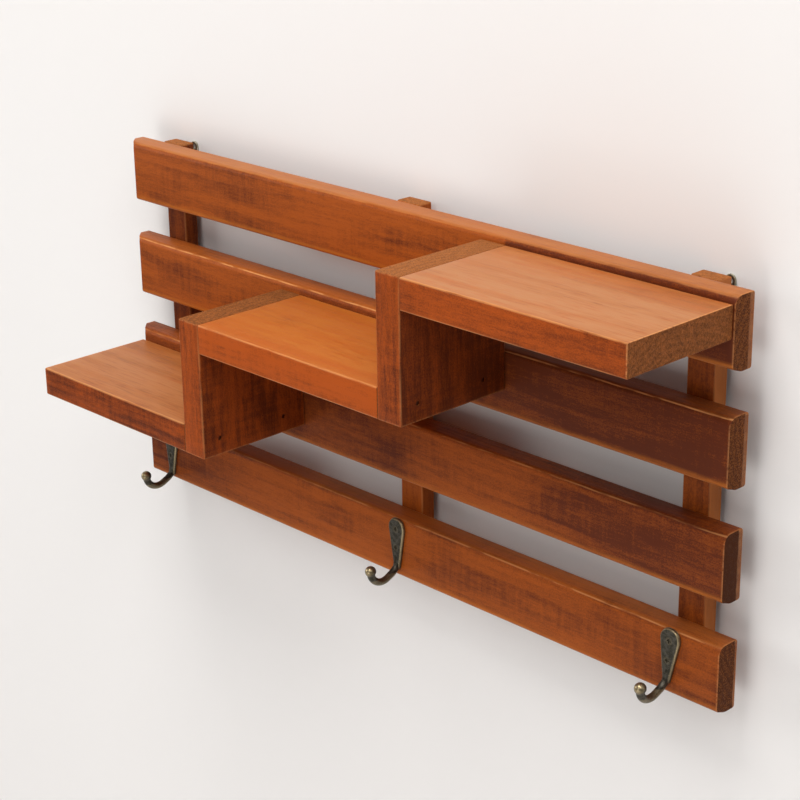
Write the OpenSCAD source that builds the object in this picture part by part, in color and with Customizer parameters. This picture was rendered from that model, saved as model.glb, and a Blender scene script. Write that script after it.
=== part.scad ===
// Wall rack: four slats on three battens, a stair of three shelves, and three coat hooks.
// Millimetres. +X runs along the wall to the viewer's right, +Y goes into the wall and +Z is up.
// The origin lies on the wall plane, midway between the two hanging eyes.

/* [Slats] */
// Length of each slat
rack_length = 540; // [480:5:700]
// Height of each slat
slat_h = 44.5; // [42:0.5:53]
// Thickness of each slat, from the wall side to the front
slat_t = 17; // [16:0.5:24]
// Open gap between one slat and the next
slat_gap = 25.5; // [22:0.5:40]
// Rounding of a slat's upper front edge
slat_top_r = 3.5; // [1:0.5:5]
// Height of the bevel along a slat's lower front edge
slat_foot_rise = 3; // [1:0.5:6]
// Depth of the bevel along a slat's lower front edge
slat_foot_depth = 8; // [6:0.5:10]
// Rounding between a slat's front and that bevel
slat_foot_r = 2.5; // [1:0.5:5]
// Rounding of the two long back edges of a slat
slat_back_r = 1.5; // [0.5:0.5:3]
// Corner sawn off a slat's front at its left end, seen from above
slat_end_bevel = 9; // [1:0.5:12]

/* [Battens] */
// Width of each batten
batten_w = 20; // [18:0.5:30]
// Thickness of each batten
batten_t = 11.5; // [10:0.5:20]
// How far a batten stands above the top slat
batten_proud = 0; // [0:0.5:3]
// How far a batten ends above the bottom slat's lower edge
batten_short = 1; // [0:0.5:4]
// Slat end to the left batten
batten_left_inset = 23; // [14:0.5:40]
// Slat end to the right batten
batten_right_inset = 24; // [5:0.5:40]
// Middle batten's distance from the middle of the slats, to the right
batten_middle_shift = 2.5; // [-10:0.5:10]

/* [Stair] */
// Thickness of the three shelf boards
shelf_t = 20; // [16:0.5:26]
// Depth of the shelf boards, from the slats to the front
shelf_depth = 88; // [70:1:140]
// Length of the low shelf
shelf_low_len = 159; // [120:1:180]
// Length of the middle shelf
shelf_mid_len = 166; // [120:1:190]
// Length of the high shelf
shelf_high_len = 166; // [120:1:190]
// Thickness of the two risers
riser_t = 20; // [14:0.5:26]
// High shelf's top below its slat's upper edge
shelf_high_drop = 4.5; // [1:0.5:9]
// Middle shelf's top below its slat's upper edge
shelf_mid_drop = 5.5; // [1:0.5:9]
// Low shelf's top below its slat's upper edge
shelf_low_drop = 8.5; // [1:0.5:9]
// High shelf's right end to the slats' right end
stair_right_inset = 1.5; // [0:0.5:10]
// Eased edge of shelves, risers and battens
edge_r = 1; // [0.5:0.25:2]

/* [Hooks] */
// Slat end to the left hook's middle
hook_left_inset = 35.5; // [20:0.5:80]
// Middle hook's distance from the middle of the slats, to the right
hook_middle_shift = 6.5; // [-20:0.5:20]
// Slat end to the right hook's middle
hook_right_inset = 34.5; // [15:0.5:80]
// Left hook's top above the bottom slat's upper edge, below it where negative
hook_left_proud = -2.5; // [-3:0.5:2]
// Middle hook's top above the bottom slat's upper edge, below it where negative
hook_middle_proud = 0; // [-3:0.5:2]
// Right hook's top above the bottom slat's upper edge, below it where negative
hook_right_proud = 1; // [-3:0.5:2]
// Lean of the left hook, its foot to the left, in degrees
hook_left_lean = 2; // [-5:0.5:5]
// Lean of the middle hook, its foot to the left, in degrees
hook_middle_lean = 0; // [-5:0.5:5]
// Lean of the right hook, its foot to the left, in degrees
hook_right_lean = 4; // [-5:0.5:5]
// Radius of the plate's broad top
plate_top_r = 7.2; // [6:0.1:9]
// Radius of the plate's narrow foot
plate_foot_r = 2.6; // [2.4:0.1:4]
// Height of the plate
plate_h = 37.4; // [36:0.2:42]
// Thickness of the plate
plate_t = 2.4; // [2:0.1:3]
// Radius of the hook's round arm
arm_r = 2.4; // [2:0.1:2.6]
// Slope of the arm where it leaves the plate, in degrees below level
arm_slope = 24; // [15:1:30]
// Bend where the arm turns up to the ball
arm_up_r = 10.6; // [8:0.2:12]
// Slat's face to the ball's centre
arm_reach = 25.5; // [22:0.5:32]
// Bottom of the arm's middle line below the plate's top
arm_drop = 41.2; // [40:0.2:42.6]
// Radius of the ball on the arm's tip
ball_r = 3.75; // [2.8:0.05:5]
// Plate's top to the upper hook screw
hook_screw_top = 7.8; // [7:0.2:9]
// Distance between a hook's two screws
hook_screw_pitch = 13.2; // [12:0.2:15]

/* [Hangers] */
// Width of a hanger
hanger_w = 7; // [6:0.5:12]
// Thickness of the hanger's sheet
hanger_t = 1.5; // [1:0.1:2]
// How far the eye stands off the batten, for a wall screw's head
hanger_crank = 2.5; // [2:0.1:4]
// Radius of the eye's hole
eye_r = 2; // [1.5:0.1:2.5]
// Eye's centre below the top slat's upper edge
eye_drop = 3.5; // [0:0.5:6]
// Eye's centre down to the start of the bend
hanger_neck = 8; // [6:0.5:12]
// Height of the sloping bend
hanger_bend = 3; // [2:0.5:6]
// Height of the flat foot that lies on the batten
hanger_foot = 21; // [18:0.5:30]

/* [Fasteners] */
// Shank radius of the screws in hooks and hangers
small_screw_r = 1.45; // [1.2:0.05:1.6]
// Head radius of the screws in hooks and hangers
small_head_r = 2.5; // [2.2:0.05:2.8]
// Length of the hook screws
hook_screw_len = 14; // [10:0.5:16]
// Length of the hanger screws
hanger_screw_len = 9; // [7:0.5:10]
// Shank radius of the shelf screws
shelf_screw_r = 1.75; // [1.5:0.05:2]
// Head radius of the shelf screws
shelf_screw_head_r = 3.5; // [3:0.1:4]
// Shelf screw's reach into the shelf
shelf_screw_reach = 23; // [15:1:40]
// Slat's screw to the nearer end of its shelf, far enough in to clear the battens
shelf_screw_end = 48; // [20:1:50]
// Shank radius of the nails
nail_r = 0.9; // [0.7:0.05:1.1]
// Head radius of the nails
nail_head_r = 1.5; // [1.3:0.05:2]
// Thickness of a nail's head
nail_head_t = 0.8; // [0.5:0.1:1.2]
// Batten nail's reach into the slat
batten_nail_reach = 12; // [8:0.5:13]
// How far a stair nail's head is sunk below the riser's face
nail_sunk = 0.8; // [0:0.1:1.5]
// Stair nail's reach into the shelf's end
stair_nail_reach = 25; // [15:1:40]
// Slats to the rear stair nail
stair_nail_rear = 19; // [10:1:30]
// Shelf's front to the front stair nail
stair_nail_front = 14; // [8:1:25]
// Stair nails' height above the middle of the shelf's edge
stair_nail_up = 1.5; // [-4:0.5:4]

/* [Hidden] */
$fn = 64;

// Room between a shank or head and its hole, and the overlap that keeps cuts clean
hole_room = 0.1;
over = 1;

// Levels from the wall forward
batten_back_y = -(hanger_t + hanger_crank);
slat_back_y = batten_back_y - batten_t;
slat_front_y = slat_back_y - slat_t;
shelf_front_y = slat_front_y - shelf_depth;

// Heights of the slats
slat_pitch = slat_h + slat_gap;
top_edge_z = eye_drop;
function slat_top_z(row) = top_edge_z - row * slat_pitch;
function slat_bottom_z(row) = slat_top_z(row) - slat_h;
batten_top_z = top_edge_z + batten_proud;
batten_bottom_z = slat_bottom_z(3) + batten_short;

// Places along the wall: the two hangers are level with their battens' right sides
eye_from_left_end = batten_left_inset + batten_w - hanger_w / 2;
eye_from_right_end = batten_right_inset + hanger_w / 2;
rack_left_x = -(rack_length - eye_from_right_end + eye_from_left_end) / 2;
rack_right_x = rack_left_x + rack_length;
rack_middle_x = rack_left_x + rack_length / 2;
eye_right_x = rack_right_x - eye_from_right_end;
batten_x = [
  rack_left_x + batten_left_inset + batten_w / 2,
  rack_middle_x + batten_middle_shift,
  rack_right_x - batten_right_inset - batten_w / 2
];

// The shelf lengths are given for this length of rack: a longer one shares its extra among the three
given_for_length = 540;
shelf_extra = (rack_length - given_for_length) / 3;
low_len = shelf_low_len + shelf_extra;
mid_len = shelf_mid_len + shelf_extra;
high_len = shelf_high_len + shelf_extra;

// The stair, from its right end to its left end
high_right_x = rack_right_x - stair_right_inset;
high_left_x = high_right_x - high_len;
mid_right_x = high_left_x - riser_t;
mid_left_x = mid_right_x - mid_len;
low_right_x = mid_left_x - riser_t;
low_left_x = low_right_x - low_len;
high_z = slat_top_z(0) - shelf_high_drop;
mid_z = slat_top_z(1) - shelf_mid_drop;
low_z = slat_top_z(2) - shelf_low_drop;

// Hooks
hook_x = [
  rack_left_x + hook_left_inset,
  rack_middle_x + hook_middle_shift,
  rack_right_x - hook_right_inset
];
hook_top_z = [for (proud = [hook_left_proud, hook_middle_proud, hook_right_proud]) slat_top_z(3) + proud];
hook_lean = [hook_left_lean, hook_middle_lean, hook_right_lean];

// The arm starts just clear of the slat's face
arm_off_slat = 0.2;

// Nails at a batten's crossings, as a share of the batten's width and the slat's height from the middle
batten_nail_share = 0.25;

// Screws in a hanger's foot, as shares of the foot's height from its top, and their pan heads
hanger_screw_shares = [0.25, 0.75];
hanger_head_t = 1.6;

// Cross recess: width and depth of each slot, and its reach as a share of the head's radius
recess_w = 0.8;
recess_depth = 0.7;
recess_reach = 0.6;

// Points of screws and nails: length in shank radii, and radius at the blunt end
screw_point_radii = 2;
screw_point_r = 0.2;
nail_point_radii = 3;
nail_point_r = 0.15;

// Colours of the stained boards and the aged metal
slat_colour = "#A24E22";
shelf_colour = "#C9743A";
riser_colour = "#A8502A";
batten_colour = "#7C3A1E";
bronze_colour = "#4A4433";
steel_colour = "#8C8A84";

// A slat's section, as depth from its front and height: rounded edges, and a bevel along the lower front edge
module slat_section() {
  tilt = atan(slat_foot_rise / slat_foot_depth);
  foot = [slat_foot_r, slat_foot_rise - slat_foot_r * tan(tilt) + slat_foot_r / cos(tilt)];
  top = [slat_top_r, slat_h - slat_top_r];
  back = slat_t - slat_back_r;
  polygon([
    [0, foot.y], foot - slat_foot_r * [sin(tilt), cos(tilt)], [slat_foot_depth, 0],
    [back, 0], [slat_t, slat_back_r], [slat_t, slat_h - slat_back_r], [back, slat_h],
    [top.x, slat_h], [0, top.y]
  ]);
  translate(foot) circle(slat_foot_r);
  translate(top) circle(slat_top_r);
  for (z = [slat_back_r, slat_h - slat_back_r]) translate([back, z]) circle(slat_back_r);
}

// What is sawn off the front corner of a slat's left end, seen from above
module end_offcut() {
  reach = slat_end_bevel + over;
  polygon([[-over, -over], [reach, -over], [-over, reach]]);
}

// The section of every other board
module board_section(w, h) {
  polygon([
    [edge_r, 0], [w - edge_r, 0], [w, edge_r], [w, h - edge_r],
    [w - edge_r, h], [edge_r, h], [0, h - edge_r], [0, edge_r]
  ]);
  for (x = [edge_r, w - edge_r], y = [edge_r, h - edge_r]) translate([x, y]) circle(edge_r);
}

// A screw countersunk at 45 degrees, with its head's face at the origin, driven along +Z
module countersunk_screw(length, shank_r, head_r) {
  head_t = head_r - shank_r;
  point = screw_point_radii * shank_r;
  difference() {
    union() {
      cylinder(h = head_t, r1 = head_r, r2 = shank_r);
      cylinder(h = length - point, r = shank_r);
      translate([0, 0, length - point]) cylinder(h = point, r1 = shank_r, r2 = screw_point_r);
    }
    cross_recess(head_r);
  }
}

// The cross in a screw's head
module cross_recess(head_r) {
  reach = recess_reach * head_r;
  for (turn = [0, 90]) rotate(turn)
    translate([-reach, -recess_w / 2, -over]) cube([2 * reach, recess_w, over + recess_depth]);
}

// The hole that a countersunk screw sits in
module countersunk_hole(length, shank_r, head_r) {
  head_t = head_r - shank_r;
  cylinder(h = head_t, r1 = head_r + hole_room, r2 = shank_r + hole_room);
  translate([0, 0, -over]) cylinder(h = over, r = head_r + hole_room);
  translate([0, 0, -over]) cylinder(h = length + over + hole_room, r = shank_r + hole_room);
}

// A flat-headed nail with its head's face at the origin, driven along +Z
module nail(length) {
  point = nail_point_radii * nail_r;
  cylinder(h = nail_head_t, r = nail_head_r);
  cylinder(h = length - point, r = nail_r);
  translate([0, 0, length - point]) cylinder(h = point, r1 = nail_r, r2 = nail_point_r);
}

// The hole of a nail whose head lies sunk below the face at the origin
module nail_hole(length, sunk) {
  translate([0, 0, -over]) cylinder(h = over + sunk + nail_head_t, r = nail_head_r + hole_room);
  cylinder(h = sunk + length + hole_room, r = nail_r + hole_room);
}

// Puts its children at each crossing of a batten and a slat, two to a crossing, driven to the front
module at_batten_nails(battens, rows) {
  side = batten_nail_share * batten_w;
  height = batten_nail_share * slat_h;
  for (b = battens, row = rows, end = [-1, 1])
    translate([batten_x[b] + end * side, batten_back_y, slat_top_z(row) - slat_h / 2 + end * height])
      rotate([90, 0, 0]) children();
}

// Puts its children behind each shelf, on the slat's back face, driven to the front
module at_shelf_screws(left_x, length, shelf_z) {
  for (x = [left_x + shelf_screw_end, left_x + length - shelf_screw_end])
    translate([x, slat_back_y, shelf_z - shelf_t / 2]) rotate([90, 0, 0]) children();
}

// Puts its children at a riser's two nails: turn is -90 from the right face and 90 from the left face
module at_stair_nails(face_x, shelf_z, turn) {
  for (y = [slat_front_y - stair_nail_rear, shelf_front_y + stair_nail_front])
    translate([face_x, y, shelf_z - shelf_t / 2 + stair_nail_up]) rotate([0, turn, 0]) children();
}

// Puts its children at a hook's place: the middle of its plate's broad end, on the slat's face
module at_hook(index) {
  translate([hook_x[index], slat_front_y, hook_top_z[index] - plate_top_r])
    rotate([0, hook_lean[index], 0]) children();
}

// Puts its children at a hook's two screws, driven into the slat
module at_hook_screws(hooks) {
  for (h = hooks, step = [0, 1]) at_hook(h)
    translate([0, -plate_t, plate_top_r - hook_screw_top - step * hook_screw_pitch])
      rotate([-90, 0, 0]) children();
}

// Puts its children at the two screws in a hanger's foot, driven into the batten
module at_hanger_screws(x) {
  foot_top_z = -hanger_neck - hanger_bend;
  for (share = hanger_screw_shares)
    translate([x, batten_back_y + hanger_t, foot_top_z - share * hanger_foot]) rotate([90, 0, 0]) children();
}

batten_nail_len = batten_t + batten_nail_reach;
shelf_screw_len = slat_t + shelf_screw_reach;
stair_nail_len = riser_t - nail_sunk + stair_nail_reach;

// One slat, with the holes of what is driven through it or into it
module slat(row) {
  color(slat_colour) difference() {
    translate([rack_left_x, slat_front_y, slat_bottom_z(row)])
      rotate([90, 0, 90]) linear_extrude(rack_length) slat_section();
    translate([rack_left_x, slat_front_y, slat_bottom_z(row) - over])
      linear_extrude(slat_h + 2 * over) end_offcut();
    at_batten_nails([0, 1, 2], [row]) nail_hole(batten_nail_len, 0);
    if (row == 0) at_shelf_screws(high_left_x, high_len, high_z) shelf_screw_hole();
    if (row == 1) at_shelf_screws(mid_left_x, mid_len, mid_z) shelf_screw_hole();
    if (row == 2) at_shelf_screws(low_left_x, low_len, low_z) shelf_screw_hole();
    if (row == 3) at_hook_screws([0, 1, 2]) hook_screw_hole();
  }
}

module shelf_screw_hole() {
  countersunk_hole(shelf_screw_len, shelf_screw_r, shelf_screw_head_r);
}

module hook_screw_hole() {
  countersunk_hole(hook_screw_len, small_screw_r, small_head_r);
}

// One upright batten at the back
module batten(index) {
  color(batten_colour) difference() {
    translate([batten_x[index] - batten_w / 2, slat_back_y, batten_bottom_z])
      linear_extrude(batten_top_z - batten_bottom_z) board_section(batten_w, batten_t);
    at_batten_nails([index], [0:3]) nail_hole(batten_nail_len, 0);
    if (index == 0) at_hanger_screws(-eye_right_x) hanger_screw_hole();
    if (index == 2) at_hanger_screws(eye_right_x) hanger_screw_hole();
  }
}

module hanger_screw_hole() {
  translate([0, 0, -over]) cylinder(h = hanger_screw_len + over + hole_room, r = small_screw_r + hole_room);
}

// One level board of the stair, with nail holes where a riser is nailed to its ends
module shelf(left_x, length, top_z, nailed_left, nailed_right) {
  color(shelf_colour) difference() {
    translate([left_x, shelf_front_y, top_z - shelf_t])
      rotate([90, 0, 90]) linear_extrude(length) board_section(shelf_depth, shelf_t);
    at_shelf_screws(left_x, length, top_z) shelf_screw_hole();
    if (nailed_left) at_stair_nails(left_x - riser_t, top_z, 90) stair_nail_hole();
    if (nailed_right) at_stair_nails(left_x + length + riser_t, top_z, -90) stair_nail_hole();
  }
}

module stair_nail_hole() {
  nail_hole(stair_nail_len, nail_sunk);
}

// One upright board of the stair, between a lower shelf's end and an upper shelf's end
module riser(left_x, lower_z, upper_z) {
  color(riser_colour) difference() {
    translate([left_x, shelf_front_y, lower_z - shelf_t])
      linear_extrude(upper_z - lower_z + shelf_t) board_section(riser_t, shelf_depth);
    at_stair_nails(left_x + riser_t, lower_z, -90) stair_nail_hole();
    at_stair_nails(left_x, upper_z, 90) stair_nail_hole();
  }
}

// The hook plate's outline: two circles and the tangents between them
module plate_outline() {
  span = plate_h - plate_top_r - plate_foot_r;
  lean = asin((plate_top_r - plate_foot_r) / span);
  circle(plate_top_r);
  translate([0, -span]) circle(plate_foot_r);
  polygon([
    [plate_top_r * cos(lean), -plate_top_r * sin(lean)],
    [plate_foot_r * cos(lean), -span - plate_foot_r * sin(lean)],
    [-plate_foot_r * cos(lean), -span - plate_foot_r * sin(lean)],
    [-plate_top_r * cos(lean), -plate_top_r * sin(lean)]
  ]);
}

// One cast hook: plate, arm and ball, with its back on the slat at y = 0 and its broad end's middle at z = 0
module hook_body() {
  bend_y = arm_up_r - arm_reach;
  bend_z = plate_top_r - arm_drop + arm_up_r;
  start_y = -arm_r - arm_off_slat;
  meet_y = bend_y + arm_up_r * sin(arm_slope);
  rotate([90, 0, 0]) linear_extrude(plate_t) plate_outline();
  translate([0, bend_y, bend_z]) arm((start_y - meet_y) / cos(arm_slope));
  translate([0, -arm_reach, bend_z]) sphere(ball_r);
}

// A hook's arm, about its bend's centre: a straight part that starts round, then the bend up to the ball
module arm(straight_len) {
  rotate([arm_slope, 0, 0]) rotate([180, 90, 0]) {
    rotate_extrude(angle = 90 + arm_slope) translate([arm_up_r, 0]) circle(arm_r);
    translate([arm_up_r, 0, 0]) rotate([90, 0, 0]) cylinder(h = straight_len, r = arm_r);
    translate([arm_up_r, -straight_len, 0]) sphere(arm_r);
  }
}

module hook(index) {
  color(bronze_colour) difference() {
    at_hook(index) hook_body();
    at_hook_screws([index]) hook_screw_hole();
  }
}

module hook_screws() {
  color(bronze_colour) at_hook_screws([0, 1, 2])
    countersunk_screw(hook_screw_len, small_screw_r, small_head_r);
}

// The hanger's side view, as depth and height from the eye's centre: eye, sloping bend and foot
module hanger_side() {
  eye_top = hanger_w / 2;
  bend_z = -hanger_neck;
  foot_z = bend_z - hanger_bend;
  end_z = foot_z - hanger_foot;
  polygon([
    [0, eye_top], [0, bend_z], [-hanger_crank, foot_z], [-hanger_crank, end_z],
    [-hanger_crank - hanger_t, end_z], [-hanger_crank - hanger_t, foot_z],
    [-hanger_t, bend_z], [-hanger_t, eye_top]
  ]);
}

// The hanger's front view: a strip with round ends
module hanger_front() {
  length = hanger_neck + hanger_bend + hanger_foot - hanger_w / 2;
  circle(hanger_w / 2);
  translate([0, -length]) circle(hanger_w / 2);
  translate([-hanger_w / 2, -length]) square([hanger_w, length]);
}

// One stamped hanger, its eye's centre at x on the wall plane
module hanger(x) {
  depth = hanger_crank + hanger_t;
  color(bronze_colour) difference() {
    translate([x, 0, 0]) intersection() {
      translate([-hanger_w, 0, 0]) rotate([90, 0, 90]) linear_extrude(2 * hanger_w) hanger_side();
      translate([0, over, 0]) rotate([90, 0, 0]) linear_extrude(depth + 2 * over) hanger_front();
    }
    translate([x, over, 0]) rotate([90, 0, 0]) cylinder(h = depth + 2 * over, r = eye_r);
    at_hanger_screws(x) hanger_screw_hole();
  }
}

// A pan-headed screw, its head lying on the face at the origin, driven along +Z
module pan_screw() {
  point = screw_point_radii * small_screw_r;
  body = hanger_screw_len - point;
  difference() {
    union() {
      translate([0, 0, -hanger_head_t]) cylinder(h = hanger_head_t, r = small_head_r);
      cylinder(h = body, r = small_screw_r);
      translate([0, 0, body]) cylinder(h = point, r1 = small_screw_r, r2 = screw_point_r);
    }
    translate([0, 0, -hanger_head_t]) cross_recess(small_head_r);
  }
}

module hanger_screws() {
  color(steel_colour) for (x = [-eye_right_x, eye_right_x]) at_hanger_screws(x) pan_screw();
}

module batten_nails() {
  color(steel_colour) at_batten_nails([0, 1, 2], [0:3]) nail(batten_nail_len);
}

module shelf_screws() {
  color(steel_colour) {
    at_shelf_screws(high_left_x, high_len, high_z) shelf_screw();
    at_shelf_screws(mid_left_x, mid_len, mid_z) shelf_screw();
    at_shelf_screws(low_left_x, low_len, low_z) shelf_screw();
  }
}

module shelf_screw() {
  countersunk_screw(shelf_screw_len, shelf_screw_r, shelf_screw_head_r);
}

module stair_nails() {
  color(steel_colour) {
    at_stair_nails(mid_left_x, low_z, -90) sunk_nail();
    at_stair_nails(low_right_x, mid_z, 90) sunk_nail();
    at_stair_nails(high_left_x, mid_z, -90) sunk_nail();
    at_stair_nails(mid_right_x, high_z, 90) sunk_nail();
  }
}

module sunk_nail() {
  translate([0, 0, nail_sunk]) nail(stair_nail_len);
}

slat(0);  // slat_top
slat(1);  // slat_upper
slat(2);  // slat_lower
slat(3);  // slat_bottom
batten(0);  // batten_left
batten(1);  // batten_middle
batten(2);  // batten_right
shelf(low_left_x, low_len, low_z, false, true);  // shelf_low
shelf(mid_left_x, mid_len, mid_z, true, true);  // shelf_middle
shelf(high_left_x, high_len, high_z, true, false);  // shelf_high
riser(low_right_x, low_z, mid_z);  // riser_low
riser(mid_right_x, mid_z, high_z);  // riser_high
hook(0);  // hook_left
hook(1);  // hook_middle
hook(2);  // hook_right
hook_screws();
hanger(-eye_right_x);  // hanger_left
hanger(eye_right_x);  // hanger_right
hanger_screws();
batten_nails();
shelf_screws();
stair_nails();
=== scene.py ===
import bpy
import bmesh
from math import asin, atan2, cos, pi, radians, sin, sqrt, tan
from mathutils import Matrix, Vector, noise
from bpy.props import FloatProperty, FloatVectorProperty, PointerProperty


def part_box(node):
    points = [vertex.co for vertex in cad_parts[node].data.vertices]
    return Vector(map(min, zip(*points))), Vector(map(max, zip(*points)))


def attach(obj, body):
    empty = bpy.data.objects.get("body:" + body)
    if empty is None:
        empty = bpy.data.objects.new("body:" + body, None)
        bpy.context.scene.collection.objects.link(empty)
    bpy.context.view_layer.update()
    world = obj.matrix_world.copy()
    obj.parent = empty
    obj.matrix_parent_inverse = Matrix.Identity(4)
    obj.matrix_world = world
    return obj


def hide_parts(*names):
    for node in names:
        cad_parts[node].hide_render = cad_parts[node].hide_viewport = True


bl_info = {
    "name": "Wall rack",
    "version": (1, 0, 0),
    "blender": (4, 5, 0),
    "location": "3D View > Sidebar > Wall rack",
    "description": "Builds a stained wooden wall rack with a stair of shelves and cast coat hooks",
    "category": "Object",
}

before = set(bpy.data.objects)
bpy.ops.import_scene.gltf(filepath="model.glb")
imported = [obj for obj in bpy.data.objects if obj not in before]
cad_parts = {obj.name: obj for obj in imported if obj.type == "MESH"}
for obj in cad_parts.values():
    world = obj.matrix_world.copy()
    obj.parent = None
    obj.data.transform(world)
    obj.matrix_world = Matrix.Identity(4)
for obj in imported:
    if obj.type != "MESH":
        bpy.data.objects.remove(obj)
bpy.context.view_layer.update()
MM = 0.001

# Boards by the node that they stand for. The grain of a board runs along X or along Z.
SLATS = ("slat_top", "slat_upper", "slat_lower", "slat_bottom")
BATTENS = ("batten_left", "batten_middle", "batten_right")
SHELVES = ("shelf_low", "shelf_middle", "shelf_high")
RISERS = ("riser_low", "riser_high")
HOOKS = ("hook_left", "hook_middle", "hook_right")

# How far apart the planer's ripples and the growth rings lie and how far the rings stray, in millimetres
PLANER_PITCH = 3.4
RING_PITCH = 4.6
RING_STRAY = 14.0

# How far the wood's dark patterns go towards the colour of the late wood
STAIN_DEPTH = 0.78

# A face starts to look a certain way, and does so fully, where its normal goes that way by these shares
LOOKS_UP = (0.6, 0.95)
LOOKS_ENDWARDS = (0.6, 0.85)
LOOKS_RIGHT = (0.6, 0.9)
LOOKS_FRONT = (0.2, 0.6)

# How many dips sanding leaves in a metre, how near two pieces touch, and where a drill's bit starts in front of
# a board and in front of a hanger
DIPS = 28.0
TOUCH = 0.05 * MM
BIT_START = -1.0 * MM
HANGER_BIT_START = -0.2 * MM

# Metals by their clean and their stained colour; the hangers' second colour is a pale painted highlight
HANGER_METAL_AND_HIGHLIGHT = ((0.24, 0.22, 0.15), (0.80, 0.76, 0.60))
SUNK_METAL = ((0.075, 0.026, 0.012), (0.12, 0.045, 0.02))
STEEL_STAIN = (0.22, 0.19, 0.16)

# The backdrop and the floor, in metres
STAGE_REACH = 4.0
STAGE_TOP = 3.0
FLOOR_HEIGHT = -1.5
BACKDROP_GAP = 0.0003

# Lamps: the way each stands from the rack's middle, its watts and its colour
LAMPS = (
    ("overhead", (0.0, -0.35, 0.94), 62.0, (1.0, 0.99, 0.975)),
    ("upper right", (0.6, -0.4, 0.7), 24.0, (1.0, 0.985, 0.97)),
    ("front high", (0.1, -0.8, 0.6), 17.0, (1.0, 0.98, 0.96)),
    ("front low", (0.1, -0.9, -0.28), 20.0, (1.0, 0.98, 0.96)),
    ("left", (-0.85, -0.5, 0.2), 23.0, (1.0, 0.985, 0.97)),
)
LAMP_AIM = (0.0, -0.05, -0.12)
LAMP_DISTANCE = 3.0
LAMP_SIDE = 1.5

# The light from all around, and what the camera sees where nothing stands
ROOM_LIGHT = (1.0, 0.985, 0.975)
ROOM_STRENGTH = 0.12
ROOM_SEEN = (0.93, 0.92, 0.91)

# The camera: its place in metres, its azimuth, elevation and roll in degrees, and its lens in millimetres
CAMERA_PLACE = (0.86125, -0.85488, 0.32424)
CAMERA_TURN = (46.177, 20.618, -0.895)
CAMERA_LENS = 88.78
CAMERA_SENSOR = 36.0


# Sizes and colours that a user would change

def length(name, description, millimetres):
    return FloatProperty(name=name, description=description, default=millimetres * MM,
                         min=0.0, precision=5, unit="LENGTH")


def tint(name, description, colour):
    return FloatVectorProperty(name=name, description=description, default=colour,
                               size=3, min=0.0, max=1.0, subtype="COLOR")


class WallRackSizes(bpy.types.PropertyGroup):
    slat_top_round: length("Slat top rounding", "Rounding of a slat's upper front edge", 3.5)
    slat_foot_round: length("Slat foot rounding", "Rounding between a slat's front and its foot's bevel", 2.5)
    slat_foot_rise: length("Slat foot bevel height", "Height of the bevel along a slat's lower front edge", 3.0)
    slat_foot_depth: length("Slat foot bevel depth", "Depth of the bevel along a slat's lower front edge", 8.0)
    slat_belly_round: length("Slat belly rounding", "Rounding between that bevel and a slat's underside", 9.0)
    slat_back_round: length("Slat back rounding", "Rounding of a slat's two long back edges", 1.5)
    slat_end_bevel: length("Slat end bevel", "Corner sawn off a slat's front at its left end", 9.0)
    slat_end_wear: length("Slat end wear", "How much rounder a slat's upper front edge is at its right end", 2.0)
    slat_wear_reach: length("Slat wear reach", "How far in from the right end that wear reaches", 22.0)
    board_round: length("Board edge", "Rounding of the long edges of shelves, risers and battens", 1.0)
    end_ease: length("End edge", "Rounding where a board's side meets its sawn end", 0.6)
    unevenness: length("Unevenness", "How far sanding has dipped a board's face", 0.12)
    nail_shank: length("Nail shank", "Shank radius of the nails", 0.9)
    nail_head: length("Nail head", "Head radius of the nails", 1.5)
    nail_head_height: length("Nail head height", "Thickness of a nail's head", 0.8)
    nail_sunk: length("Nail sunk", "How far a stair nail's head lies below the riser's face", 0.8)
    small_shank: length("Small screw shank", "Shank radius of the screws in hooks and hangers", 1.45)
    small_head: length("Small screw head", "Head radius of the screws in hooks and hangers", 2.5)
    shelf_shank: length("Shelf screw shank", "Shank radius of the shelf screws", 1.75)
    shelf_head: length("Shelf screw head", "Head radius of the shelf screws", 3.5)
    hole_room: length("Room in holes", "Room between a fastener and its hole", 0.1)
    plate_top: length("Hook plate top", "Radius of a hook plate's broad top", 7.2)
    plate_foot: length("Hook plate foot", "Radius of a hook plate's narrow foot", 2.6)
    plate_height: length("Hook plate height", "Height of a hook's plate", 37.4)
    plate_thickness: length("Hook plate thickness", "Thickness of a hook's plate at its middle", 2.4)
    screw_drop: length("Hook screw drop", "Plate's top to the upper hook screw", 7.8)
    arm_radius: length("Hook arm", "Radius of a hook's arm", 2.4)
    arm_up: length("Hook arm bend", "Bend where the arm turns up to the ball", 10.6)
    arm_reach: length("Hook reach", "Slat's face to the ball's centre", 25.5)
    arm_drop: length("Hook arm drop", "Bottom of the arm's middle line below the plate's top", 41.2)
    arm_root: length("Hook arm root", "Where the arm's rib starts below the plate's top", 23.0)
    arm_slope: FloatProperty(name="Hook arm slope", description="Slope of the arm where it leaves the plate",
                             default=radians(24.0), min=0.0, max=radians(45.0), subtype="ANGLE")
    ball_radius: length("Hook ball", "Radius of the ball on the arm's tip", 3.75)


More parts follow.
